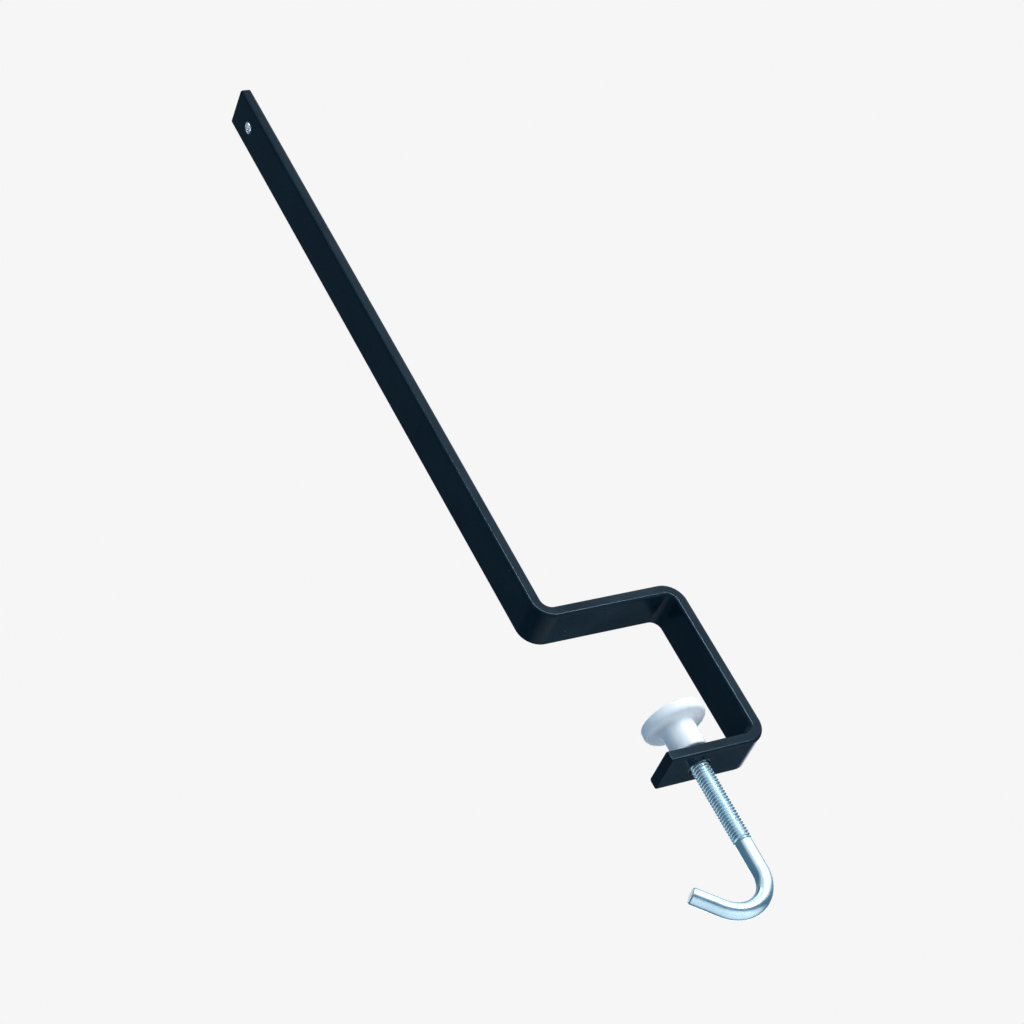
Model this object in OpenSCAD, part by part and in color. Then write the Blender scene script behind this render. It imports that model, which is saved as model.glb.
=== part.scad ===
// Net clamp for a table tennis table: a flat steel strip with three square bends is the net's
// post and the clamp's frame in one. A hook screw below the table turns in the strip's threaded
// collar and presses a plastic pad up against the table top from underneath.
// Millimetres. +Z runs up the post, +X points away from the table, and the origin is the
// middle of the jaw face, the flat underside that rests on the table top.

/* [Strip] */
// Width of the flat strip, over its paint
bar_w = 10.1; // [8:0.1:14]
// Thickness of the flat strip, over its paint
bar_t = 2.7; // [2:0.1:4]
// Rounding of the strip's long edges
edge_r = 0.8; // [0.2:0.1:0.9]
// Inner radius of the three bends
bend_r = 2.2; // [1:0.1:4]
// Rounding of the corners at the strip's two cut ends
corner_r = 0.5; // [0.3:0.1:2.5]

/* [Post] */
// Height of the post's tip above the table top
post_h = 160; // [100:1:220]
// Diameter of the hole that takes the net's cord
cord_hole_d = 2.6; // [1:0.1:5]
// Distance from the post's tip to the middle of that hole
cord_hole_drop = 7.5; // [4:0.5:30]

/* [Jaw] */
// Distance between the middles of the post's and the leg's thickness
jaw_reach = 32.8; // [25:0.1:60]
// Clear height between the jaw face and the lug below the table
jaw_h = 36.2; // [25:0.1:60]
// Length of the lug, from the middle of the leg's thickness to the free end
lug_l = 23.1; // [18:0.1:40]
// Distance from the middle of the leg's thickness to the screw's axis
screw_inset = 14.3; // [10:0.1:15.5]

/* [Threaded collar] */
// Outer diameter of the collar that is drawn up round the screw's hole
collar_d = 7.2; // [6:0.1:9]
// Height of the collar above the lug
collar_h = 0.8; // [0.6:0.1:3]
// Rounding of the collar's rim, and of the hollow where it rises from the lug
collar_r = 0.3; // [0.2:0.1:0.4]
// Depth of the tapered lead-in at each end of the threaded hole
lead_in = 0.4; // [0.1:0.1:0.7]

/* [Hook screw] */
// Diameter of the rolled thread over its crests
thread_d = 4; // [3:0.1:4.5]
// Distance the screw rises in one turn
thread_pitch = 0.7; // [0.5:0.05:1]
// Turns of thread that are left below the lug with the pad drawn down
thread_turns = 27; // [10:1:40]
// Diameter of the plain shank and of the hook
shank_d = 3.6; // [2.5:0.1:4]
// Length of plain shank between the thread and the bend
plain_l = 6.4; // [1:0.1:20]
// Radius of the bend, to the middle of the rod
hook_r = 7.5; // [4:0.1:15]
// Angle through which the rod is bent
hook_bend = 131; // [90:1:180]
// Length of the straight tip after the bend
hook_tip_l = 6.6; // [1:0.1:20]
// Heading of the hook about the screw's axis, 0 being under the table
hook_heading = 0; // [-180:1:180]

/* [Pressure pad] */
// Diameter of the pad's disc
pad_d = 14.1; // [10:0.1:20]
// Thickness of the disc
pad_t = 2.4; // [1.8:0.1:5]
// Rounding of the disc's upper rim
pad_top_r = 0.4; // [0.2:0.1:0.7]
// Rounding of the disc's lower rim
pad_rim_r = 1; // [0.3:0.1:1.2]
// Diameter of the pad's stem
stem_d = 7.5; // [6:0.1:9]
// Length of the stem below the disc
stem_l = 6.6; // [4.8:0.1:12]
// Radius of the hollow between the stem and the disc
stem_fillet = 0.8; // [0.2:0.1:1.2]
// Gap between the stem and the threaded collar, with the pad drawn down
stem_gap = 0.1; // [0.1:0.1:6]

/* [Swivel] */
// Diameter of the neck turned on the screw's end
neck_d = 2.2; // [1.5:0.1:2.5]
// Length of the neck
neck_l = 1.6; // [1:0.1:2]
// Diameter of the head that snaps into the pad
swivel_d = 3.2; // [2.8:0.1:4]
// Length of the head
swivel_l = 1.6; // [1:0.1:2]
// Depth to which the thread reaches into the stem
socket_l = 1.2; // [0.6:0.1:1.8]

/* [Fits] */
// Radial clearance of the screw in the threaded collar
thread_fit = 0.05; // [0.02:0.01:0.1]
// Clearance of the swivel's neck and head in the pad, all round
swivel_fit = 0.08; // [0.03:0.01:0.1]
// Radial clearance of the thread in the pad's socket
socket_fit = 0.3; // [0.2:0.05:0.5]

/* [Hidden] */
$fn = 96;

paint_black = [0.10, 0.13, 0.17];
zinc = [0.72, 0.78, 0.84];
plastic_white = [0.93, 0.95, 0.97];

// A cut that must pass right through its wall starts and ends this far outside it
over = 1;

// Bend radius to the middle of the strip's thickness
mid_r = bend_r + bar_t / 2;
// Middle of the thickness of the post, of the leg, of the jaw above and of the lug below
post_x = -jaw_reach / 2;
leg_x = jaw_reach / 2;
jaw_z = bar_t / 2;
lug_z = -(jaw_h + bar_t / 2);
// Upper and lower faces of the lug, and the screw's axis
lug_top = -jaw_h;
lug_bottom = lug_top - bar_t;
screw_x = leg_x - screw_inset;

// Heights along the screw's axis with the pad drawn down
stem_bottom = lug_top + collar_h + stem_gap;
shoulder_z = stem_bottom + socket_l;
swivel_top = shoulder_z + neck_l + swivel_l;
thread_end = lug_bottom - thread_turns * thread_pitch;
bend_z = thread_end - plain_l;

// Chamfers of the rod: at the thread's run-out, the cut tip and the swivel's head
runout_l = (thread_d - shank_d) / 2;
tip_chamfer = 0.25;
swivel_chamfer = 0.5;

// The straight tip enters the end of the bend by this length, and is a hair thinner there
tip_root_l = 0.2;
tip_d = shank_d - 0.02;

// Section of the strip, its thickness along X and its width along Y
module strip_section() {
    square([bar_t, bar_w - 2 * edge_r], center = true);
    square([bar_t - 2 * edge_r, bar_w], center = true);
    for (x = [-1, 1], y = [-1, 1])
        translate([x * (bar_t / 2 - edge_r), y * (bar_w / 2 - edge_r)])
            circle(edge_r);
}

// Straight run of strip from a point in the XZ plane, leaning by a turn about Y
module strip_run(x, z, lean, l)
    translate([x, 0, z])
        rotate([0, lean, 0])
            linear_extrude(l)
                strip_section();

// Last stretch of a straight run, whose cut end has rounded corners
module strip_end(x, z, lean, l) {
    round_w = bar_w - 2 * corner_r;
    intersection() {
        strip_run(x, z, lean, l);
        translate([x, 0, z])
            rotate([0, lean, 0])
                rotate([0, 90, 0])
                    translate([0, 0, -bar_t])
                        linear_extrude(2 * bar_t) {
                            translate([-(l - corner_r), -bar_w / 2])
                                square([l - corner_r, bar_w]);
                            translate([-l, -round_w / 2])
                                square([l, round_w]);
                            for (y = [-1, 1])
                                translate([-(l - corner_r), y * round_w / 2])
                                    circle(corner_r);
                        }
    }
}

// Quarter bend round a centre in the XZ plane; start is measured from +X towards +Z
module strip_bend(x, z, start)
    translate([x, 0, z])
        rotate([0, -start, 0])
            rotate([90, 0, 0])
                rotate_extrude(angle = 90)
                    translate([mid_r, 0])
                        strip_section();

// Collar drawn up from the lug round the screw's hole, with a hollow at its foot
module collar() {
    rim = collar_d / 2;
    rotate_extrude() {
        square([rim - collar_r, collar_h]);
        square([rim, collar_h - collar_r]);
        translate([rim - collar_r, collar_h - collar_r])
            circle(collar_r);
        translate([rim, 0])
            difference() {
                square(collar_r);
                translate([collar_r, collar_r])
                    circle(collar_r);
            }
    }
}

// Bore of the screw's hole through the lug and the collar, with its two lead-ins
module screw_hole() {
    bore_d = thread_d + 2 * thread_fit;
    hole_l = bar_t + collar_h;
    translate([0, 0, -over])
        cylinder(h = hole_l + 2 * over, d = bore_d);
    translate([0, 0, -over])
        cylinder(h = lead_in + over, d1 = bore_d + 2 * (lead_in + over), d2 = bore_d);
    translate([0, 0, hole_l - lead_in])
        cylinder(h = lead_in + over, d1 = bore_d, d2 = bore_d + 2 * (lead_in + over));
}

// The bent strip: post, jaw, leg and lug in one piece
module bracket()
    color(paint_black)
        difference() {
            union() {
                strip_end(post_x, jaw_z + mid_r, 0, post_h - jaw_z - mid_r);
                strip_bend(post_x + mid_r, jaw_z + mid_r, 180);
                strip_run(post_x + mid_r, jaw_z, 90, jaw_reach - 2 * mid_r);
                strip_bend(leg_x - mid_r, jaw_z - mid_r, 0);
                strip_run(leg_x, lug_z + mid_r, 0, jaw_z - lug_z - 2 * mid_r);
                strip_bend(leg_x - mid_r, lug_z + mid_r, 270);
                strip_end(leg_x - mid_r, lug_z, -90, lug_l - mid_r);
                translate([screw_x, 0, lug_top])
                    collar();
            }
            translate([screw_x, 0, lug_bottom])
                screw_hole();
            translate([post_x - bar_t, 0, post_h - cord_hole_drop])
                rotate([0, 90, 0])
                    cylinder(h = 2 * bar_t, d = cord_hole_d);
        }

// The rod with its hook below, its rolled thread, and the swivel's neck and head on top
module hook_screw()
    color(zinc)
        translate([screw_x, 0, 0])
            rotate([0, 0, hook_heading]) {
                translate([0, 0, swivel_top - swivel_l])
                    cylinder(h = swivel_l - swivel_chamfer, d = swivel_d);
                translate([0, 0, swivel_top - swivel_chamfer])
                    cylinder(h = swivel_chamfer, d1 = swivel_d, d2 = swivel_d - 2 * swivel_chamfer);
                translate([0, 0, shoulder_z])
                    cylinder(h = neck_l, d = neck_d);
                translate([0, 0, thread_end])
                    cylinder(h = shoulder_z - thread_end, d = thread_d);
                translate([0, 0, thread_end - runout_l])
                    cylinder(h = runout_l, d1 = shank_d, d2 = thread_d);
                translate([0, 0, bend_z])
                    cylinder(h = plain_l - runout_l, d = shank_d);
                translate([-hook_r, 0, bend_z]) {
                    rotate([-90, 0, 0])
                        rotate_extrude(angle = hook_bend)
                            translate([hook_r, 0])
                                circle(d = shank_d);
                    rotate([0, hook_bend, 0])
                        translate([hook_r, 0, -hook_tip_l]) {
                            translate([0, 0, tip_chamfer])
                                cylinder(h = hook_tip_l - tip_chamfer + tip_root_l, d = tip_d);
                            cylinder(h = tip_chamfer, d1 = tip_d - 2 * tip_chamfer, d2 = tip_d);
                        }
                }
            }

// Half section of the pad without its socket, from the stem's foot up
module pad_outline() {
    rim = pad_d / 2;
    square([stem_d / 2, stem_l + pad_t]);
    translate([stem_d / 2, stem_l - stem_fillet])
        difference() {
            square(stem_fillet);
            translate([stem_fillet, 0])
                circle(stem_fillet);
        }
    translate([0, stem_l]) {
        square([rim - pad_rim_r, pad_t]);
        translate([0, pad_rim_r])
            square([rim, pad_t - pad_rim_r - pad_top_r]);
        translate([0, pad_rim_r])
            square([rim - pad_top_r, pad_t - pad_rim_r]);
        translate([rim - pad_rim_r, pad_rim_r])
            circle(pad_rim_r);
        translate([rim - pad_top_r, pad_t - pad_top_r])
            circle(pad_top_r);
    }
}

// Half section of the socket: thread's entry, snap lip round the neck, and the head's chamber
module socket_outline() {
    lip_z = socket_l + swivel_fit;
    chamber_z = socket_l + neck_l - swivel_fit;
    chamber_top = socket_l + neck_l + swivel_l + swivel_fit;
    translate([0, -over])
        square([thread_d / 2 + socket_fit, lip_z + over]);
    square([neck_d / 2 + swivel_fit, chamber_top]);
    translate([0, chamber_z])
        square([swivel_d / 2 + swivel_fit, chamber_top - chamber_z]);
}

// The moulded pad: a disc on a stem, snapped over the swivel's head
module pressure_pad()
    color(plastic_white)
        translate([screw_x, 0, stem_bottom])
            rotate_extrude()
                difference() {
                    pad_outline();
                    socket_outline();
                }

bracket();
hook_screw();
pressure_pad();
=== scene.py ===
# %% [markdown]
# # A table tennis net clamp
# The object is a bent steel strip, painted black, that is the post of a table tennis net and its
# clamp in one. A zinc-plated hook screw goes through its lug and carries a white plastic pad.
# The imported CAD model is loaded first. It is the fixed frame: every piece that we make here sits
# where its CAD solid sits, in metres, and rides on the same moving body.

# %% Load the frame
import math

import bmesh
import bpy
from mathutils import Matrix, Vector


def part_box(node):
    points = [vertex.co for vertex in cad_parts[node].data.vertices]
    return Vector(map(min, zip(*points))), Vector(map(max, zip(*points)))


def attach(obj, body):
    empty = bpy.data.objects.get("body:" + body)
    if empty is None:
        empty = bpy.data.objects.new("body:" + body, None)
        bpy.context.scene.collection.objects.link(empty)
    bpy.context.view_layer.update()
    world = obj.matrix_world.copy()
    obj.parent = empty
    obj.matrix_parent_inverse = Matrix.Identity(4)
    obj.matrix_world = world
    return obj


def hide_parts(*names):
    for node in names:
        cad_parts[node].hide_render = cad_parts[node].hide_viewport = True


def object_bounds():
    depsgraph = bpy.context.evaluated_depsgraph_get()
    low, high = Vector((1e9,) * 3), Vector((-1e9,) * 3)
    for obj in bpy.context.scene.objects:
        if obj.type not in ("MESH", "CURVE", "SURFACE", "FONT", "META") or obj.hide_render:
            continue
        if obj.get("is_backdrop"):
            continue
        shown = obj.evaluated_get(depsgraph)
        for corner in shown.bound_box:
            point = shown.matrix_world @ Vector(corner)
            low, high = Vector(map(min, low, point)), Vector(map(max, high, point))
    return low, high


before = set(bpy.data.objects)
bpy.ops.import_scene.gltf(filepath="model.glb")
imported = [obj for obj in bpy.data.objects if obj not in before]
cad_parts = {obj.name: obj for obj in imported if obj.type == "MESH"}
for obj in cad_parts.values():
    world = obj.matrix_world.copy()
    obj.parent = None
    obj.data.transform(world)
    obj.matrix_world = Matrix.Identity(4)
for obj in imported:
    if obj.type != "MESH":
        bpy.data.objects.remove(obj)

MM = 0.001

cad_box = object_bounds()
for node_name in sorted(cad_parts):
    low, high = [[round(c / MM, 2) for c in corner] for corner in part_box(node_name)]
    print(node_name, "from", low, "to", high, "mm")

# %% [markdown]
# ## Small helpers
# Blender's operators act on whatever is selected, and loading the frame leaves its nodes
# selected. So we begin each piece by deselecting everything, and in edit mode we pick vertices,
# edges or faces by their place. Sizes are easier to read in millimetres, so one function turns
# them into metres.

# %% Helpers for selecting and finishing
MERGE_DISTANCE = 0.0002 * MM


def mm(*values):
    """Millimetres to metres, as a point."""
    return tuple(v * MM for v in values)


def deselect_everything():
    if bpy.context.mode != "OBJECT":
        bpy.ops.object.mode_set(mode="OBJECT")
    bpy.ops.object.select_all(action="DESELECT")


def make_active(obj):
    deselect_everything()
    obj.select_set(True)
    bpy.context.view_layer.objects.active = obj


def apply_place(obj):
    """Puts an object's place into its mesh, so that the object itself sits at the origin."""
    make_active(obj)
    bpy.ops.object.transform_apply(location=True, rotation=True, scale=True)


def start_edit(obj, kind="FACE"):
    make_active(obj)
    bpy.ops.object.mode_set(mode="EDIT")
    bpy.ops.mesh.select_mode(type=kind)
    bpy.ops.mesh.select_all(action="DESELECT")


def pick(obj, kind, test):
    """In edit mode, selects only the vertices, edges or faces that pass the test."""
    bpy.ops.mesh.select_mode(type=kind)
    bpy.ops.mesh.select_all(action="DESELECT")
    mesh = bmesh.from_edit_mesh(obj.data)
    parts = {"VERT": mesh.verts, "EDGE": mesh.edges, "FACE": mesh.faces}[kind]
    chosen = [part for part in parts if test(part)]
    for part in chosen:
        part.select_set(True)
    mesh.select_flush_mode()
    bmesh.update_edit_mesh(obj.data)
    return len(chosen)


def middle(part):
    """Middle of an edge or a face, in millimetres."""
    points = [v.co for v in part.verts]
    return sum(points, Vector()) / len(points) / MM


def apply_modifier(obj, kind, **settings):
    """Adds a modifier, sets it and applies it, as one does in the modifier panel."""
    make_active(obj)
    modifier = obj.modifiers.new(kind.title(), kind)
    for key, value in settings.items():
        setattr(modifier, key, value)
    bpy.ops.object.modifier_apply(modifier=modifier.name)


def close_up(obj):
    """Merges doubled vertices, turns the faces outwards and reports whether the skin is closed."""
    start_edit(obj)
    bpy.ops.mesh.select_all(action="SELECT")
    bpy.ops.mesh.remove_doubles(threshold=MERGE_DISTANCE)
    bpy.ops.mesh.normals_make_consistent(inside=False)
    bpy.ops.object.mode_set(mode="OBJECT")
    mesh = bmesh.new()
    mesh.from_mesh(obj.data)
    open_edges = sum(1 for edge in mesh.edges if len(edge.link_faces) != 2)
    volume = mesh.calc_volume(signed=True) / MM**3
    print(obj.name, len(mesh.faces), "faces,", open_edges, "open edges,", round(volume, 1), "mm3")
    mesh.free()


def smooth_over(obj, degrees):
    """Smooth shading with creases where faces meet at more than so many degrees."""
    make_active(obj)
    bpy.ops.object.shade_smooth_by_angle(angle=math.radians(degrees))
    apply_modifier(obj, "WEIGHTED_NORMAL", keep_sharp=True, weight=80)


# %% [markdown]
# ### Helpers for drawing
# Edit mode can draw a chain of edges by extruding one vertex again and again, and spin it into a
# solid. Both the turned pieces and the thread start from such a chain. The same extruding draws a
# bar out of its end face, and the same spinning takes it round a bend.

# %% Draw, extrude and spin


def new_square(name, x, z):
    """A new square of one millimetre about a point, to be reshaped or merged."""
    deselect_everything()
    bpy.ops.mesh.primitive_plane_add(size=MM, location=mm(x, 0, z))
    obj = bpy.context.object
    obj.name = name
    apply_place(obj)
    return obj


def extrude(dx, dz):
    """Extrudes what is selected by a straight step in millimetres."""
    bpy.ops.mesh.extrude_region_move(TRANSFORM_OT_translate={"value": mm(dx, 0, dz)})


def bend(x, z, degrees, steps):
    """Spins the selected face round the centre of a bend."""
    bpy.ops.mesh.spin(steps=steps, angle=math.radians(degrees), center=mm(x, 0, z), axis=(0, 1, 0))


def drawn_chain(name, outline, x, z):
    """A chain of edges through (outward, up) points in millimetres, measured from x, z."""
    obj = new_square(name, x, z)
    start_edit(obj, "VERT")
    bpy.ops.mesh.select_all(action="SELECT")
    bpy.ops.mesh.merge(type="CENTER")
    bpy.ops.transform.translate(value=mm(outline[0][0], 0, outline[0][1]))
    for before, after in zip(outline, outline[1:]):
        extrude(after[0] - before[0], after[1] - before[1])
    return obj


def turned_solid(name, outline, x, z, steps):
    """A body of revolution about an upright axis: the outline is drawn and spun by a full turn."""
    obj = drawn_chain(name, outline, x, z)
    bpy.ops.mesh.select_all(action="SELECT")
    bpy.ops.mesh.spin(steps=steps, angle=math.tau, center=mm(x, 0, z), axis=(0, 0, 1))
    close_up(obj)
    return obj


def arc(centre_r, centre_z, radius, start, end, steps):
    """Points of an arc in an outline, its angles in degrees from outward towards up."""
    angles = [math.radians(start + (end - start) * i / steps) for i in range(steps + 1)]
    return [(centre_r + radius * math.cos(a), centre_z + radius * math.sin(a)) for a in angles]


# %% [markdown]
# ### Helpers for shader nodes
# A material, and the world too, is a small graph of nodes. Each function here adds one node, wires
# up its inputs and returns its output, so a graph can be written as a few plain assignments. An
# input may be another node's output or a plain value.

# %% Node helpers
# A Mix node has sockets for every kind of value, and these are the places of its colour sockets.
MIX_FIRST, MIX_SECOND, MIX_RESULT = 6, 7, 2


def feed(tree, socket, value):
    """Links an output to an input, or sets the input to a plain value."""
    if isinstance(value, bpy.types.NodeSocket):
        tree.links.new(value, socket)
    else:
        socket.default_value = value


def math_node(tree, operation, *values):
    node = tree.nodes.new("ShaderNodeMath")
    node.operation = operation
    for socket, value in zip(node.inputs, values):
        feed(tree, socket, value)
    return node.outputs[0]


def mixed(tree, factor, first, second):
    """Mixes two colours by a factor."""
    node = tree.nodes.new("ShaderNodeMix")
    node.data_type = "RGBA"
    feed(tree, node.inputs["Factor"], factor)
    feed(tree, node.inputs[MIX_FIRST], first)
    feed(tree, node.inputs[MIX_SECOND], second)
    return node.outputs[MIX_RESULT]


def mixed_shaders(tree, factor, first, second):
    node = tree.nodes.new("ShaderNodeMixShader")
    for socket, value in zip(node.inputs, (factor, first, second)):
        feed(tree, socket, value)
    return node.outputs[0]


def plain_shader(tree, kind, colour):
    """A shader node whose only setting is its colour."""
    node = tree.nodes.new(kind)
    feed(tree, node.inputs["Color"], colour)
    return node.outputs[0]


def grey(level):
    return (level, level, level, 1)


def ramp(tree, value, stops, interpolation="LINEAR"):
    """Maps a value to colours or greys at given positions."""
    node = tree.nodes.new("ShaderNodeValToRGB")
    node.color_ramp.interpolation = interpolation
    elements = node.color_ramp.elements
    while len(elements) < len(stops):
        elements.new(0.5)
    for element, (position, colour) in zip(elements, stops):
        element.position = position
        element.color = colour if len(colour) == 4 else (*colour, 1)
    feed(tree, node.inputs["Fac"], value)
    return node.outputs["Color"]


def noise(tree, where, scale, detail):
    """Noise whose scale is given in waves per metre."""
    node = tree.nodes.new("ShaderNodeTexNoise")
    node.inputs["Scale"].default_value = scale
    node.inputs["Detail"].default_value = detail
    feed(tree, node.inputs["Vector"], where)
    return node.outputs["Fac"]


def bump(tree, shader, height, distance, strength):
    node = tree.nodes.new("ShaderNodeBump")
    node.inputs["Strength"].default_value = strength
    node.inputs["Distance"].default_value = distance
    feed(tree, node.inputs["Height"], height)
    feed(tree, shader.inputs["Normal"], node.outputs["Normal"])


# %% [markdown]
# ## Camera
# The clamp is seen from below and from the side, and tipped over, as something that lies on a
# table. A camera needs only a place and two directions. We give the direction in which it looks
# and the one that is up in its view, and let a matrix hold both, because a tipped camera is
# awkward to describe with angles.

# %% Place the camera
camera_place = Vector(mm(-296.45, -404.2, -255.17))
camera_look = Vector((0.50472, 0.70436, 0.49913)).normalized()
camera_up = Vector((0.15197, -0.64165, 0.75180))
camera_right = camera_look.cross(camera_up).normalized()
camera_up = camera_right.cross(camera_look)

camera_data = bpy.data.cameras.new("studio_camera")
camera_data.lens = 94.9
camera_data.sensor_width = 36
camera_data.clip_start = 0.02
camera_data.clip_end = 60
camera = bpy.data.objects.new("studio_camera", camera_data)
bpy.context.scene.collection.objects.link(camera)
camera_turn = Matrix((camera_right, camera_up, -camera_look)).transposed().to_4x4()
camera.matrix_world = Matrix.Translation(camera_place) @ camera_turn
bpy.context.scene.camera = camera
bpy.context.scene.view_settings.view_transform = "Standard"
print("camera", [round(c, 3) for c in camera_place], "lens", camera_data.lens, "mm")

# %% [markdown]
# ## World
# The background is a plain pale grey. The world shows it to the camera and to shiny surfaces, and
# lights the object with a dimmer, slightly blue sky, which is what tints the shaded sides.
# Shiny metal shows its form only where it has something darker to reflect. So in reflections the
# world falls off to a grey blue on one side, and in a ring round the direction in which the camera
# looks, as a studio does beyond its last lamp.

# %% World
PALE = (0.9216, 0.9216, 0.9216, 1)
SKY = (0.22, 0.34, 0.47, 1)
DIM = (0.11, 0.20, 0.27, 1)
DIM_SIDE = Vector((-0.82, 0.56, 0.12)).normalized()
SIDE_STOPS = [(0.10, grey(0)), (0.60, grey(1))]
RING_MIDDLE = Vector((0.51, 0.72, 0.46)).normalized()
RING_STOPS = [(0.10, grey(0)), (0.40, grey(0.75)), (0.80, grey(0.75)), (0.95, grey(0))]

world = bpy.data.worlds.new("pale_studio")
bpy.context.scene.world = world
world.use_nodes = True
tree = world.node_tree
tree.nodes.clear()
heading = tree.nodes.new("ShaderNodeTexCoord").outputs["Object"]


def dimming(direction, stops):
    """How much a ray is dimmed, by how nearly it goes in a direction. A stop's position is 1
    straight in that direction and 0 square to it."""
    along = world.node_tree.nodes.new("ShaderNodeVectorMath")
    along.operation = "DOT_PRODUCT"
    feed(world.node_tree, along.inputs[0], heading)
    feed(world.node_tree, along.inputs[1], direction)
    return ramp(world.node_tree, along.outputs["Value"], stops, "EASE")


dim_parts = math_node(
    tree, "MAXIMUM", dimming(DIM_SIDE, SIDE_STOPS), dimming(RING_MIDDLE, RING_STOPS)
)
path = tree.nodes.new("ShaderNodeLightPath").outputs
dimmed = math_node(tree, "MULTIPLY", dim_parts, path["Is Glossy Ray"])
shown = math_node(tree, "MAXIMUM", path["Is Camera Ray"], path["Is Glossy Ray"])
shown = math_node(tree, "MAXIMUM", shown, path["Is Transmission Ray"])
sky = plain_shader(tree, "ShaderNodeBackground", SKY)
backdrop = plain_shader(tree, "ShaderNodeBackground", mixed(tree, dimmed, PALE, DIM))
world_out = tree.nodes.new("ShaderNodeOutputWorld")
feed(tree, world_out.inputs["Surface"], mixed_shaders(tree, shown, sky, backdrop))
print("world nodes:", len(tree.nodes))

# %% [markdown]
# ## Floor
# The clamp is used at a table's edge, so the floor lies a table's height below it. The near floor
# is matt, with a glow that only the camera and reflections see, which brings it up to the pale
# grey. Further out it runs into the world: to the camera it is the plain pale grey, and in
# reflections it is as dim as the dim parts of the world. A smooth sweep joins the two, so no line
# shows where one ends.

# %% Floor
# The floor's radius and the two radii between which it sweeps into the far floor are in metres.
FLOOR_Z = -760
FLOOR_RADIUS, FLOOR_CORNERS = 24, 64
SWEEP_INNER, SWEEP_OUTER = 1.0, 1.7
FLOOR_PAINT = (0.86, 0.86, 0.86, 1)
FLOOR_GLOW = (0.46, 0.42, 0.37, 1)

deselect_everything()
bpy.ops.mesh.primitive_circle_add(
    vertices=FLOOR_CORNERS, radius=FLOOR_RADIUS, fill_type="NGON", location=mm(0, 0, FLOOR_Z)
)
floor = bpy.context.object
floor.name = "studio_floor"
apply_place(floor)

floor_paint = bpy.data.materials.new("pale_floor")
floor_paint.use_nodes = True
tree = floor_paint.node_tree
tree.nodes.clear()
path = tree.nodes.new("ShaderNodeLightPath").outputs
seen = math_node(tree, "MAXIMUM", path["Is Camera Ray"], path["Is Glossy Ray"])

matt = plain_shader(tree, "ShaderNodeBsdfDiffuse", FLOOR_PAINT)
glowing = tree.nodes.new("ShaderNodeAddShader")
feed(tree, glowing.inputs[0], matt)
feed(tree, glowing.inputs[1], plain_shader(tree, "ShaderNodeEmission", FLOOR_GLOW))
near_floor = mixed_shaders(tree, seen, matt, glowing.outputs[0])
far_tone = mixed(tree, path["Is Camera Ray"], DIM, PALE)
far_floor = plain_shader(tree, "ShaderNodeEmission", far_tone)

reach = tree.nodes.new("ShaderNodeVectorMath")
reach.operation = "LENGTH"
feed(tree, reach.inputs[0], tree.nodes.new("ShaderNodeTexCoord").outputs["Object"])
sweep = tree.nodes.new("ShaderNodeMapRange")
sweep.interpolation_type = "SMOOTHSTEP"
sweep.inputs["From Min"].default_value = SWEEP_INNER
sweep.inputs["From Max"].default_value = SWEEP_OUTER
feed(tree, sweep.inputs["Value"], reach.outputs["Value"])
far_and_seen = math_node(tree, "MULTIPLY", sweep.outputs["Result"], seen)
floor_out = tree.nodes.new("ShaderNodeOutputMaterial")
feed(tree, floor_out.inputs["Surface"], mixed_shaders(tree, far_and_seen, near_floor, far_floor))
floor.data.materials.append(floor_paint)
floor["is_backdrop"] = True
print("floor at", FLOOR_Z, "mm")

# %% [markdown]
# ## Lights
# A rounded edge mirrors a lamp only in a narrow part of its curve, so a narrow strip light in
# front draws a thin bright line along every edge of the painted bar. Bare metal mirrors far more
# than paint, so the strip light is kept to the paint, and a much weaker rod light in the same
# place, which reaches every piece, draws the metal's bright line. Both are there for reflections
# alone. The soft key panel beside them and a low one, which lifts the underside of the pad, do the
# lighting and are left out of the reflections, where they would show as plain white squares.
# Larger panels fill the rest and keep the top and the back readable. Together with the world they
# light a white sheet to about white.

# %% Light panels
CLAMP_MIDDLE = Vector(mm(0, 0, 40))
UPRIGHT = Vector((0, 0, 1))
WHITE, WARM, COOL = (1.0, 1.0, 1.0), (1.0, 0.99, 0.97), (0.94, 0.97, 1.0)
NARROW_LAMP = {
    "direction": (0.33, -0.92, 0.26), "distance": 1.1, "length": 0.75, "width": 0.16,
    "along": Vector((0.43, 0.04, -0.42)),
}


def light_panel(name, direction, distance, length, width, power, colour=WHITE, along=UPRIGHT):
    """A rectangular lamp that faces the clamp, its long side turned as near as may be to along.
    Its distance and sides are in metres and its power in watts."""
    data = bpy.data.lights.new(name, "AREA")
    data.shape = "RECTANGLE"
    data.size = length
    data.size_y = width
    data.energy = power
    data.color = colour
    panel = bpy.data.objects.new(name, data)
    bpy.context.scene.collection.objects.link(panel)
    away = Vector(direction).normalized()
    across = away.cross(along).normalized()
    long_side = across.cross(away)
    facing = Matrix((long_side, across, away)).transposed().to_4x4()
    panel.matrix_world = Matrix.Translation(CLAMP_MIDDLE + away * distance) @ facing
    print(name, power, "W")
    return panel


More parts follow.
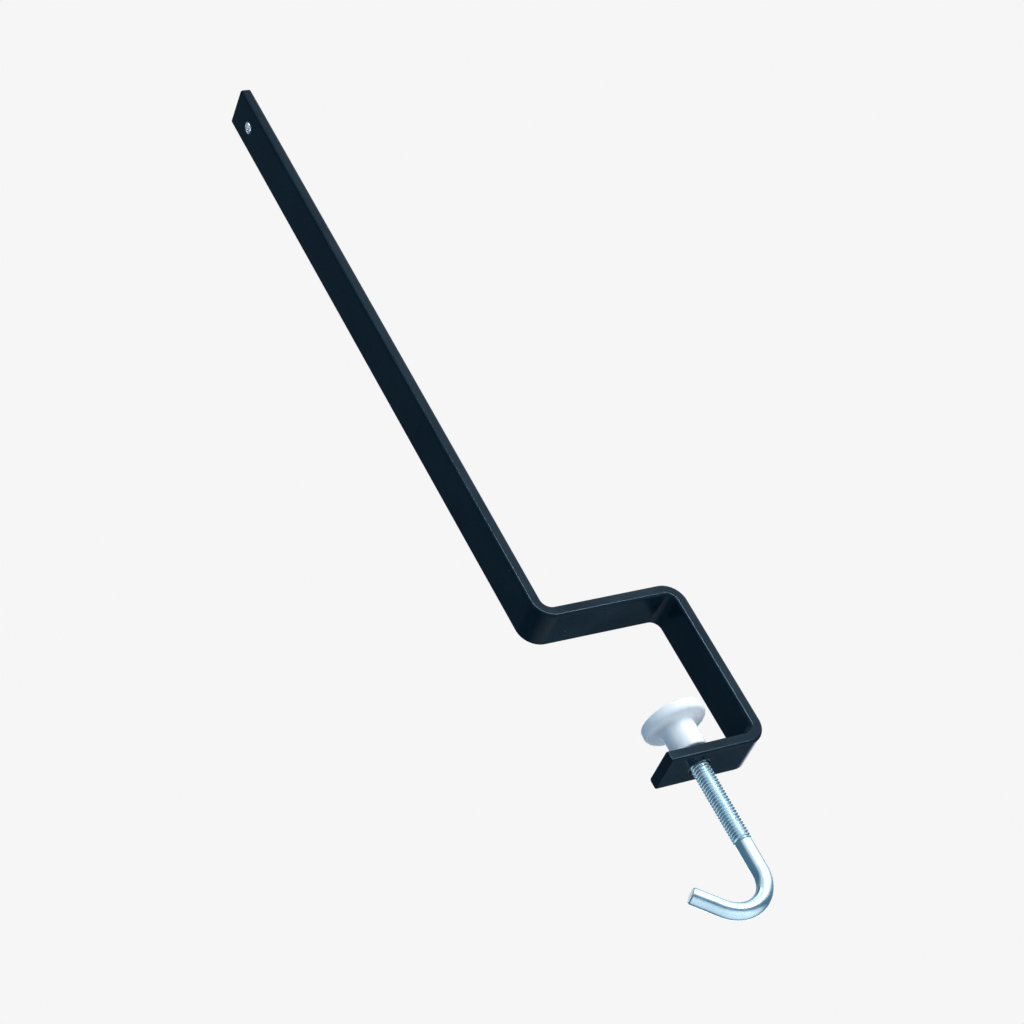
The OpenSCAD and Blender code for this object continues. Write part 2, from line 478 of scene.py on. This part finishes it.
strip_light = light_panel("strip_light", power=23.0, **NARROW_LAMP)
rod_light = light_panel("rod_light", power=3.8, **NARROW_LAMP)
for lamp in (strip_light, rod_light):
    lamp.visible_diffuse = False
key_panel = light_panel("key_panel", (0.20, -0.93, 0.36), 1.1, 0.6, 0.6, 7.6, WARM)
low_panel = light_panel("low_panel", (0.66, -0.52, -0.54), 0.9, 0.6, 0.6, 2.5)
for lamp in (key_panel, low_panel):
    lamp.visible_glossy = False
light_panel("front_panel", (0.1, -0.95, 0.25), 1.4, 1.4, 1.4, 4.3)
light_panel("side_panel", (0.85, -0.40, 0.45), 1.1, 0.9, 0.9, 3.0)
light_panel("top_panel", (0.25, -0.25, 1.0), 1.1, 0.7, 0.7, 2.0)
light_panel("back_panel", (0.5, 0.85, 0.15), 1.2, 0.9, 0.9, 3.5, COOL)

# %% [markdown]
# ## Finishes
# Each finish starts from the Principled shader and takes its variation from noise that is read in
# Object coordinates, so the pattern stays on the piece when it moves. Noise seldom leaves the
# range from 0.3 to 0.7, so a colour or a roughness runs from its first value to its last there.

# %% Start of a finish
NOISE_LOW, NOISE_HIGH = 0.3, 0.7


def new_finish(name):
    material = bpy.data.materials.new(name)
    material.use_nodes = True
    tree = material.node_tree
    shader = tree.nodes["Principled BSDF"]
    place = tree.nodes.new("ShaderNodeTexCoord")
    return material, tree, shader, place.outputs["Object"]


def spread(tree, value, first, last, low=NOISE_LOW, high=NOISE_HIGH):
    """Runs from the first colour or grey to the last while a value goes from low to high."""
    return ramp(tree, value, [(low, first), (high, last)])


def dress(obj, *materials):
    obj.data.materials.clear()
    for material in materials:
        obj.data.materials.append(material)


# %% [markdown]
# ### Black paint
# The strip is dipped or sprayed in glossy black enamel. Enamel is never quite flat: it has a
# faint orange-peel ripple about a millimetre and a half across. It is also a little thinner and
# duller in places, and carries a few tiny pale nicks and specks of dust. The colour is almost
# black with a breath of blue. A low specular level keeps the pale studio from greying it.

# %% Black paint
PAINT_THICK, PAINT_THIN = (0.0032, 0.0115, 0.0190), (0.0046, 0.0155, 0.0245)
PAINT_SPECULAR, PAINT_TINT = 0.10, (0.55, 0.80, 1.0, 1)
SPECK_WAVES, SPECK_R, SPECK_EDGE = 420, 0.075, 0.10
SPECK_COLOUR = (0.10, 0.13, 0.155, 1)
RIPPLE_WAVES, RIPPLE_DEPTH, RIPPLE_STRENGTH = 650, 0.03 * MM, 0.12

black_paint, tree, shader, where = new_finish("black_enamel")
base = spread(tree, noise(tree, where, 90, 3), PAINT_THICK, PAINT_THIN, 0.35, 0.65)
cells = tree.nodes.new("ShaderNodeTexVoronoi")
cells.inputs["Scale"].default_value = SPECK_WAVES
feed(tree, cells.inputs["Vector"], where)
dots = spread(tree, cells.outputs["Distance"], grey(1), grey(0), SPECK_R, SPECK_EDGE)
few = spread(tree, noise(tree, where, 260, 1), grey(0), grey(1), 0.66, 0.70)
specks = math_node(tree, "MULTIPLY", dots, few)
feed(tree, shader.inputs["Base Color"], mixed(tree, specks, base, SPECK_COLOUR))
gloss = spread(tree, noise(tree, where, 140, 3), grey(0.15), grey(0.24))
feed(tree, shader.inputs["Roughness"], gloss)
shader.inputs["Specular IOR Level"].default_value = PAINT_SPECULAR
shader.inputs["Specular Tint"].default_value = PAINT_TINT
bump(tree, shader, noise(tree, where, RIPPLE_WAVES, 1.5), RIPPLE_DEPTH, RIPPLE_STRENGTH)
print(black_paint.name, "ready")

# %% [markdown]
# ### Bright steel for the cord hole
# A painted highlight: the wall of the cord hole, and some way round its rim, gets plain bright
# steel instead of enamel, so that the hole shows as a light spot.

# %% Bare steel
STEEL_DARK, STEEL_PALE = (0.58, 0.64, 0.68), (0.72, 0.77, 0.80)

hole_highlight_steel, tree, shader, where = new_finish("hole_highlight_steel")
base = spread(tree, noise(tree, where, 900, 2), STEEL_DARK, STEEL_PALE)
feed(tree, shader.inputs["Base Color"], base)
shader.inputs["Metallic"].default_value = 1.0
shader.inputs["Roughness"].default_value = 0.4
print(hole_highlight_steel.name, "ready")

# %% [markdown]
# ### Zinc plating
# The screw is drawn steel wire with a bright, bluish zinc coat. Wire drawing leaves fine lines
# that run along the rod, also round the hook, so they can't come from Object coordinates. The
# rod carries an attribute of its own, rod_place, that gives each vertex a place on a straight
# rod: two coordinates round it and one along it. The noise is stretched along the third.

# %% Zinc plating
ZINC_BLUE, ZINC_PALE = (0.48, 0.68, 0.79), (0.60, 0.77, 0.86)
LINE_WAVES, LINE_STRETCH, LINE_SHARE = 3200, 0.03, 0.8
LINE_DEPTH, LINE_STRENGTH = 0.01 * MM, 0.12

zinc_plating, tree, shader, where = new_finish("bright_zinc")
rod_place = tree.nodes.new("ShaderNodeAttribute")
rod_place.attribute_name = "rod_place"
stretch = tree.nodes.new("ShaderNodeMapping")
stretch.inputs["Scale"].default_value = (1, 1, LINE_STRETCH)
feed(tree, stretch.inputs["Vector"], rod_place.outputs["Vector"])
lines = noise(tree, stretch.outputs["Vector"], LINE_WAVES, 2)
cloud = noise(tree, where, 350, 3)
feed(tree, shader.inputs["Base Color"], spread(tree, cloud, ZINC_BLUE, ZINC_PALE))
shader.inputs["Metallic"].default_value = 1.0
lined_cloud = math_node(tree, "MULTIPLY_ADD", lines, LINE_SHARE, cloud)
gloss = spread(tree, lined_cloud, grey(0.15), grey(0.28), 0.5, 1.2)
feed(tree, shader.inputs["Roughness"], gloss)
bump(tree, shader, lines, LINE_DEPTH, LINE_STRENGTH)
print(zinc_plating.name, "ready")

# %% [markdown]
# ### White plastic
# The pad is moulded in white polyethylene. Light goes a little way into it, which softens its
# shadows, and the mould leaves a fine satin skin. Subsurface scattering gives the first, and a
# fine noise in the roughness and the bump gives the second.

# %% White plastic
PLASTIC_DEEP, PLASTIC_PALE = (0.84, 0.875, 0.90), (0.88, 0.91, 0.93)
LIGHT_SHARE, LIGHT_DEPTH, LIGHT_COLOUR = 0.35, 0.6 * MM, (0.85, 0.92, 1.0)
SATIN_WAVES, SATIN_DEPTH, SATIN_STRENGTH = 2600, 0.01 * MM, 0.25

white_plastic, tree, shader, where = new_finish("white_polyethylene")
base = spread(tree, noise(tree, where, 120, 2), PLASTIC_DEEP, PLASTIC_PALE)
feed(tree, shader.inputs["Base Color"], base)
shader.inputs["Subsurface Weight"].default_value = LIGHT_SHARE
shader.inputs["Subsurface Radius"].default_value = LIGHT_COLOUR
shader.inputs["Subsurface Scale"].default_value = LIGHT_DEPTH
gloss = spread(tree, noise(tree, where, 700, 2), grey(0.26), grey(0.36))
feed(tree, shader.inputs["Roughness"], gloss)
bump(tree, shader, noise(tree, where, SATIN_WAVES, 2), SATIN_DEPTH, SATIN_STRENGTH)
print(white_plastic.name, "ready")

# %% [markdown]
# ## The painted strip
# The real strip is flat bar with soft rolled edges. It is cropped to length, bent three times and
# pierced for the cord, and a punch draws a collar out of the lug, which is then threaded. We work
# in nearly the same order. First the bar's section is drawn, a rectangle whose corners are
# bevelled round. Then it is extruded along the straight runs and spun round the bends, which
# keeps the section true and is simpler than bending a long block with a modifier.

# %% Sizes of the strip
BAR_W, BAR_T, EDGE_R, BEND_R = 10.1, 2.7, 0.65, 2.2
HALF_T = BAR_T / 2
MID_R = BEND_R + HALF_T
POST_X, LEG_X = -16.4, 16.4
TIP_Z, JAW_Z, LUG_Z = 160.0, HALF_T, -37.55
LUG_TOP, LUG_BOTTOM = LUG_Z + HALF_T, LUG_Z - HALF_T
LUG_END_X = -6.7
SCREW_X = 2.1
EDGE_STEPS, BEND_STEPS = 7, 16
STRIP_CREASE = 32

# %% Draw the bar's section
strip = new_square("painted_strip", POST_X, TIP_Z)
start_edit(strip)
bpy.ops.mesh.select_all(action="SELECT")
bpy.ops.transform.resize(value=(BAR_T, BAR_W, 1), center_override=mm(POST_X, 0, TIP_Z))
bpy.ops.mesh.bevel(offset=EDGE_R * MM, segments=EDGE_STEPS, affect="VERTICES")
bpy.ops.mesh.select_all(action="SELECT")
print("the section has", len(bmesh.from_edit_mesh(strip.data).verts), "points")

# %% Sweep the section along the strip
extrude(0, JAW_Z + MID_R - TIP_Z)
bend(POST_X + MID_R, JAW_Z + MID_R, 90, BEND_STEPS)
extrude(LEG_X - POST_X - 2 * MID_R, 0)
bend(LEG_X - MID_R, JAW_Z - MID_R, -90, BEND_STEPS)
extrude(0, LUG_Z - JAW_Z + 2 * MID_R)
bend(LEG_X - MID_R, LUG_Z + MID_R, -90, BEND_STEPS)
extrude(LUG_END_X - LEG_X + MID_R, 0)
close_up(strip)
print("strip reaches", [round(c / MM, 2) for c in strip.dimensions])

# %% [markdown]
# ### The cut ends
# The bar is cropped square, and only the deburring and the thick enamel round the rim of each cut
# end. We pick the edges that lie in the two end planes and bevel them.

# %% Round the rims of the cut ends
RIM_R, RIM_STEPS = 0.3, 5
IN_PLANE = 0.01


def in_end_plane(edge):
    ends = [v.co / MM for v in edge.verts]
    at_tip = all(abs(end.z - TIP_Z) < IN_PLANE for end in ends)
    at_lug_end = all(abs(end.x - LUG_END_X) < IN_PLANE and end.z < LUG_Z + BAR_T for end in ends)
    return at_tip or at_lug_end


start_edit(strip, "EDGE")
print("edges in the end planes:", pick(strip, "EDGE", in_end_plane))
bpy.ops.mesh.bevel(offset=RIM_R * MM, segments=RIM_STEPS, affect="EDGES")
close_up(strip)

# %% [markdown]
# ### The drawn collar and the holes
# A punch pushes through the lug from below and draws the steel up into a short collar, which
# leaves a hollow at its foot and gives the thread more length. The collar is a turned body that
# a Boolean modifier joins to the strip. The hollow dips a hair under the lug's face, because one
# that only touched it would leave the Boolean in doubt. The cord hole and the screw hole are cut
# the same way, with cutters that go well past the faces and whose ends flare, so that each hole
# gets its rounded rim in the same cut.

# %% Join the collar to the lug
COLLAR_R, COLLAR_H, COLLAR_ROUND, COLLAR_ROOT = 3.6, 0.8, 0.3, 0.6
HAIR = 0.004
ROUND_STEPS, TURN_STEPS = 8, 96

foot_r, top_r = COLLAR_R + COLLAR_ROUND, COLLAR_R - COLLAR_ROUND
foot_round, top_round = COLLAR_ROUND + HAIR, COLLAR_ROUND - HAIR
collar_outline = [(0, -COLLAR_ROOT), (foot_r, -COLLAR_ROOT)]
collar_outline += arc(foot_r, COLLAR_ROUND, foot_round, 270, 180, ROUND_STEPS)
collar_outline += arc(top_r, COLLAR_H - COLLAR_ROUND, top_round, 0, 90, ROUND_STEPS)
collar_outline += [(0, COLLAR_H - HAIR)]
collar = turned_solid("collar_blank", collar_outline, SCREW_X, LUG_TOP, TURN_STEPS)


def cut_or_join(obj, tool, operation):
    """Applies one Boolean and then removes the tool."""
    apply_modifier(obj, "BOOLEAN", object=tool, operation=operation, solver="EXACT")
    bpy.data.objects.remove(tool)


cut_or_join(strip, collar, "UNION")
print("with its collar the strip has", len(strip.data.polygons), "faces")

# %% Cut the screw hole
HOLE_R, LEAD_IN, ENTRY_R = 2.05, 0.4, 0.7
PAST = 1

hole_l = LUG_TOP + COLLAR_H - LUG_BOTTOM
hole_outline = [(0, -PAST), (HOLE_R + ENTRY_R, -PAST)]
hole_outline += arc(HOLE_R + ENTRY_R, ENTRY_R, ENTRY_R, 270, 180, ROUND_STEPS)
hole_outline += [
    (HOLE_R, hole_l - LEAD_IN), (HOLE_R + LEAD_IN + PAST, hole_l + PAST), (0, hole_l + PAST),
]
screw_cutter = turned_solid("screw_hole_cutter", hole_outline, SCREW_X, LUG_BOTTOM, TURN_STEPS)
cut_or_join(strip, screw_cutter, "DIFFERENCE")

# %% Cut the cord hole
CORD_R, CORD_RIM, CORD_Z = 1.3, 0.22, 152.5
CORD_RIM_STEPS, CORD_TURN_STEPS = 5, 48

mouth_r = CORD_R + CORD_RIM
cord_outline = [(0, -HALF_T - PAST), (mouth_r, -HALF_T - PAST)]
cord_outline += arc(mouth_r, -HALF_T + CORD_RIM, CORD_RIM, 270, 180, CORD_RIM_STEPS)
cord_outline += arc(mouth_r, HALF_T - CORD_RIM, CORD_RIM, 180, 90, CORD_RIM_STEPS)
cord_outline += [(mouth_r, HALF_T + PAST), (0, HALF_T + PAST)]
cord_cutter = turned_solid("cord_hole_cutter", cord_outline, 0, 0, CORD_TURN_STEPS)
cord_cutter.rotation_euler = (0, math.radians(90), 0)
cord_cutter.location = mm(POST_X, 0, CORD_Z)
apply_place(cord_cutter)
cut_or_join(strip, cord_cutter, "DIFFERENCE")
close_up(strip)

# %% [markdown]
# ### Paint and a painted highlight on the strip
# The strip gets both finishes. The faces of the cord hole, out to some way round its rim, are
# given the bright steel, a painted highlight that makes the hole show as a light spot.

# %% Finish the strip
# Out to this radius round the cord hole the faces get the bright steel, a painted highlight.
HIGHLIGHT_R = CORD_R + 0.7 * CORD_RIM


def in_cord_bore(face):
    place = middle(face)
    return math.hypot(place.y, place.z - CORD_Z) < HIGHLIGHT_R and place.x < POST_X + BAR_T


smooth_over(strip, STRIP_CREASE)
dress(strip, black_paint, hole_highlight_steel)
start_edit(strip)
print("faces in the cord hole:", pick(strip, "FACE", in_cord_bore))
# The hole's faces get the bright steel, a painted highlight that makes the hole a light spot.
strip.active_material_index = 1
bpy.ops.object.material_slot_assign()
bpy.ops.object.mode_set(mode="OBJECT")
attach(strip, "strip")
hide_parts("bracket")

# %% [markdown]
# ### The strip light's only piece
# Light linking gives a lamp a collection, and the lamp lights nothing but the pieces in it. The
# strip light's collection holds the painted strip, so the zinc and the plastic don't mirror it.

# %% Keep the strip light to the paint
painted_pieces = bpy.data.collections.new("painted_pieces")
painted_pieces.objects.link(strip)
strip_light.light_linking.receiver_collection = painted_pieces

# %% [markdown]
# ## The hook screw
# The screw starts as a length of round wire. Its upper part is rolled to an M4 thread, which
# pushes metal out into the crests, so the plain shank below is a little thinner than the thread.
# Then the end is bent into an open hook for the finger.
# A thread is a helix, and the Screw modifier makes one from a profile that is exactly one pitch
# high. The ends of the helix are then cut flat, and the lower end is extruded and spun into the
# shank and the hook, so the whole rod is one closed skin.

# %% Draw one pitch of the thread's profile
PITCH, CREST_R, ROOT_R, SHANK_R = 0.7, 2.0, 1.575, 1.8
SHOULDER_Z, THREAD_END, BEND_Z = -34.1, -57.8, -64.2
TURNS_BELOW, TURNS_DRAWN, TURN_POINTS = 1.5, 39, 56

lower_half = [
    (ROOT_R, 0.0), (ROOT_R + 0.005, 0.05), (ROOT_R + 0.05, 0.09),
    (CREST_R - 0.06, 0.27), (CREST_R - 0.01, 0.31), (CREST_R, PITCH / 2),
]
profile = lower_half + [(r, PITCH - z) for r, z in reversed(lower_half[:-1])]
screw = drawn_chain("zinc_hook_screw", profile, 0, THREAD_END - TURNS_BELOW * PITCH)
bpy.ops.object.mode_set(mode="OBJECT")
print("thread profile", len(screw.data.vertices), "points")

# %% Wind it up and cut both ends flat
TURN_MERGE, CUT_DISTANCE = 0.0005 * MM, 0.0001 * MM

apply_modifier(
    screw, "SCREW", axis="Z", angle=math.tau, screw_offset=PITCH * MM, iterations=TURNS_DRAWN,
    steps=TURN_POINTS, render_steps=TURN_POINTS, use_merge_vertices=False, use_smooth_shade=False,
)
start_edit(screw, "EDGE")
bpy.ops.mesh.select_all(action="SELECT")
bpy.ops.mesh.remove_doubles(threshold=TURN_MERGE)
for height, upward in ((SHOULDER_Z, True), (THREAD_END, False)):
    bpy.ops.mesh.select_all(action="SELECT")
    bpy.ops.mesh.bisect(
        plane_co=mm(0, 0, height), plane_no=(0, 0, 1), threshold=CUT_DISTANCE,
        clear_outer=upward, clear_inner=not upward,
    )
    bpy.ops.mesh.edge_face_add()
bpy.ops.object.mode_set(mode="OBJECT")
print("thread", len(screw.data.polygons), "faces")

# %% Let the thread run out at both ends
RUN_OUT, TOP_TAPER, TOP_R = 1.1, 0.6, 1.5


def share(way, length):
    """How much of a length has been gone, from 0 to 1."""
    return min(1.0, max(0.0, way / length))


for vertex in screw.data.vertices:
    x, y, z = vertex.co / MM
    radius = math.hypot(x, y)
    rise = share(z - THREAD_END, RUN_OUT)
    wanted = SHANK_R + (radius - SHANK_R) * rise * rise * (3 - 2 * rise)
    wanted = min(wanted, TOP_R + share(SHOULDER_Z - z, TOP_TAPER) * (CREST_R - TOP_R))
    vertex.co.x *= wanted / radius
    vertex.co.y *= wanted / radius

# %% Extrude the shank, spin the hook and draw out its tip
HOOK_R, HOOK_BEND, HOOK_STEPS = 7.5, 131.0, 44
TIP_L, TIP_CHAMFER = 6.6, 0.25
NEAR = 0.001
THREAD_CORNERS = 4


def flat_end(height):
    """A test for the many-sided face that closes the rod at a height."""
    def test(face):
        return len(face.verts) > THREAD_CORNERS and abs(middle(face).z - height) < NEAR
    return test


close_up(screw)
start_edit(screw)
print("lower end", pick(screw, "FACE", flat_end(THREAD_END)))
extrude(0, BEND_Z - THREAD_END)
bend(-HOOK_R, BEND_Z, -HOOK_BEND, HOOK_STEPS)
turned = math.radians(HOOK_BEND)
tip_way = Vector((-math.sin(turned), 0, -math.cos(turned)))
for length in (TIP_L - TIP_CHAMFER, TIP_CHAMFER):
    extrude(tip_way.x * length, tip_way.z * length)
bend_end = Vector((-HOOK_R + HOOK_R * math.cos(turned), 0, BEND_Z - HOOK_R * math.sin(turned)))
tip_middle = bend_end + tip_way * TIP_L
shrink = (SHANK_R - TIP_CHAMFER) / SHANK_R
bpy.ops.transform.resize(value=(shrink, shrink, shrink), center_override=tip_middle * MM)

# %% Turn the neck and the head on the upper end
NECK_R, NECK_TOP, HEAD_R, HEAD_TOP, HEAD_CHAMFER = 1.1, -32.5, 1.6, -30.9, 0.5

print("upper end", pick(screw, "FACE", flat_end(SHOULDER_Z)))
head_outline = [
    (TOP_R, SHOULDER_Z), (NECK_R, SHOULDER_Z), (NECK_R, NECK_TOP), (HEAD_R, NECK_TOP),
    (HEAD_R, HEAD_TOP - HEAD_CHAMFER), (HEAD_R - HEAD_CHAMFER, HEAD_TOP),
]
for (r_before, z_before), (r_after, z_after) in zip(head_outline, head_outline[1:]):
    extrude(0, z_after - z_before)
    growth = r_after / r_before
    bpy.ops.transform.resize(value=(growth, growth, 1), center_override=mm(0, 0, z_after))
bpy.ops.object.mode_set(mode="OBJECT")
close_up(screw)

# %% [markdown]
# ### A place on the rod for the drawing lines
# Every vertex is told where it would be if the hook were pulled straight. Round the bend that
# place comes from the angle about the bend's centre, and past it from the way along the tip.

# %% Store the place on the straight rod
TIP_ACROSS = Vector((math.cos(turned), 0, -math.sin(turned)))


def straightened(co):
    """Where a point of the rod, in millimetres, would be if the rod were straight."""
    if co.z >= BEND_Z + NEAR and co.x >= -HOOK_R:
        return mm(co.x, co.y, -co.z)
    swept = math.atan2(BEND_Z - co.z, co.x + HOOK_R) % math.tau
    if swept <= turned + NEAR:
        out = math.hypot(co.x + HOOK_R, co.z - BEND_Z) - HOOK_R
        return mm(out, co.y, -BEND_Z + HOOK_R * swept)
    offset = co - bend_end
    return mm(offset.dot(TIP_ACROSS), co.y, -BEND_Z + HOOK_R * turned + offset.dot(tip_way))


places = [straightened(vertex.co / MM) for vertex in screw.data.vertices]
attribute = screw.data.attributes.new("rod_place", "FLOAT_VECTOR", "POINT")
for item, place in zip(attribute.data, places):
    item.vector = place
print("rod length", round(max(place[2] for place in places) / MM + HEAD_TOP, 1), "mm")

# %% Finish the screw
SCREW_CREASE = 50

screw.location = mm(SCREW_X, 0, 0)
apply_place(screw)
smooth_over(screw, SCREW_CREASE)
dress(screw, zinc_plating)
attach(screw, "screw")
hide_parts("hook_screw")

# %% [markdown]
# ## The pressure pad
# The pad is one plastic moulding, a thick disc on a round stem. It is snapped over the turned
# head of the screw, so the screw can spin while the pad stands still against the table. All of
# it is turned about one axis, so its half section is drawn and spun. Its corners are drawn round,
# as a mould makes them, and the socket is drawn too, because it can be seen from below.

# %% Sizes of the pad
PAD_R, PAD_T, PAD_TOP_R, PAD_RIM_R = 7.05, 2.4, 0.4, 1.0
STEM_R, STEM_L, STEM_BOTTOM = 3.75, 6.6, -35.3
FILLET, FOOT_ROUND = 0.8, 0.35
SOCKET_R, LIP_R, CHAMBER_R = 2.3, 1.18, 1.68
LIP_Z, CHAMBER_Z, CHAMBER_TOP = 1.28, 2.72, 4.48
LIP_CHAMFER, MOUTH_CHAMFER = 0.3, 0.15
GATE_R, GATE_DEPTH, GATE_SLOPE = 1.1, 0.12, 0.1
PAD_ROUND_STEPS, FILLET_STEPS, PAD_RIM_STEPS, PAD_TURN_STEPS = 6, 8, 10, 128
PAD_CREASE = 35

# %% Turn the pad
pad_top = STEM_L + PAD_T
pad_outline = [
    (0, CHAMBER_TOP), (CHAMBER_R, CHAMBER_TOP), (CHAMBER_R, CHAMBER_Z), (LIP_R, CHAMBER_Z),
    (LIP_R, LIP_Z + LIP_CHAMFER), (LIP_R + LIP_CHAMFER, LIP_Z), (SOCKET_R, LIP_Z),
    (SOCKET_R, MOUTH_CHAMFER), (SOCKET_R + MOUTH_CHAMFER, 0),
]
pad_outline += arc(STEM_R - FOOT_ROUND, FOOT_ROUND, FOOT_ROUND, 270, 360, PAD_ROUND_STEPS)
pad_outline += arc(STEM_R + FILLET, STEM_L - FILLET, FILLET, 180, 90, FILLET_STEPS)
pad_outline += arc(PAD_R - PAD_RIM_R, STEM_L + PAD_RIM_R, PAD_RIM_R, 270, 360, PAD_RIM_STEPS)
pad_outline += arc(PAD_R - PAD_TOP_R, pad_top - PAD_TOP_R, PAD_TOP_R, 0, 90, PAD_ROUND_STEPS)
pad_outline += [
    (GATE_R + GATE_SLOPE, pad_top), (GATE_R, pad_top - GATE_DEPTH), (0, pad_top - GATE_DEPTH),
]
pad = turned_solid("white_pad", pad_outline, SCREW_X, STEM_BOTTOM, PAD_TURN_STEPS)
smooth_over(pad, PAD_CREASE)
dress(pad, white_plastic)
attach(pad, "pad")
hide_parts("pressure_pad")

# %% [markdown]
# ## Finish
# The dressed model has to stay inside the CAD model's box, so both boxes are measured and kept.

# %% Measure and finish
dressed_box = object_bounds()
sizes = {
    "cad": [list(map(float, corner)) for corner in cad_box],
    "dressed": [list(map(float, corner)) for corner in dressed_box],
}
for label, corners in sizes.items():
    print(label, [[round(c / MM, 2) for c in corner] for corner in corners])
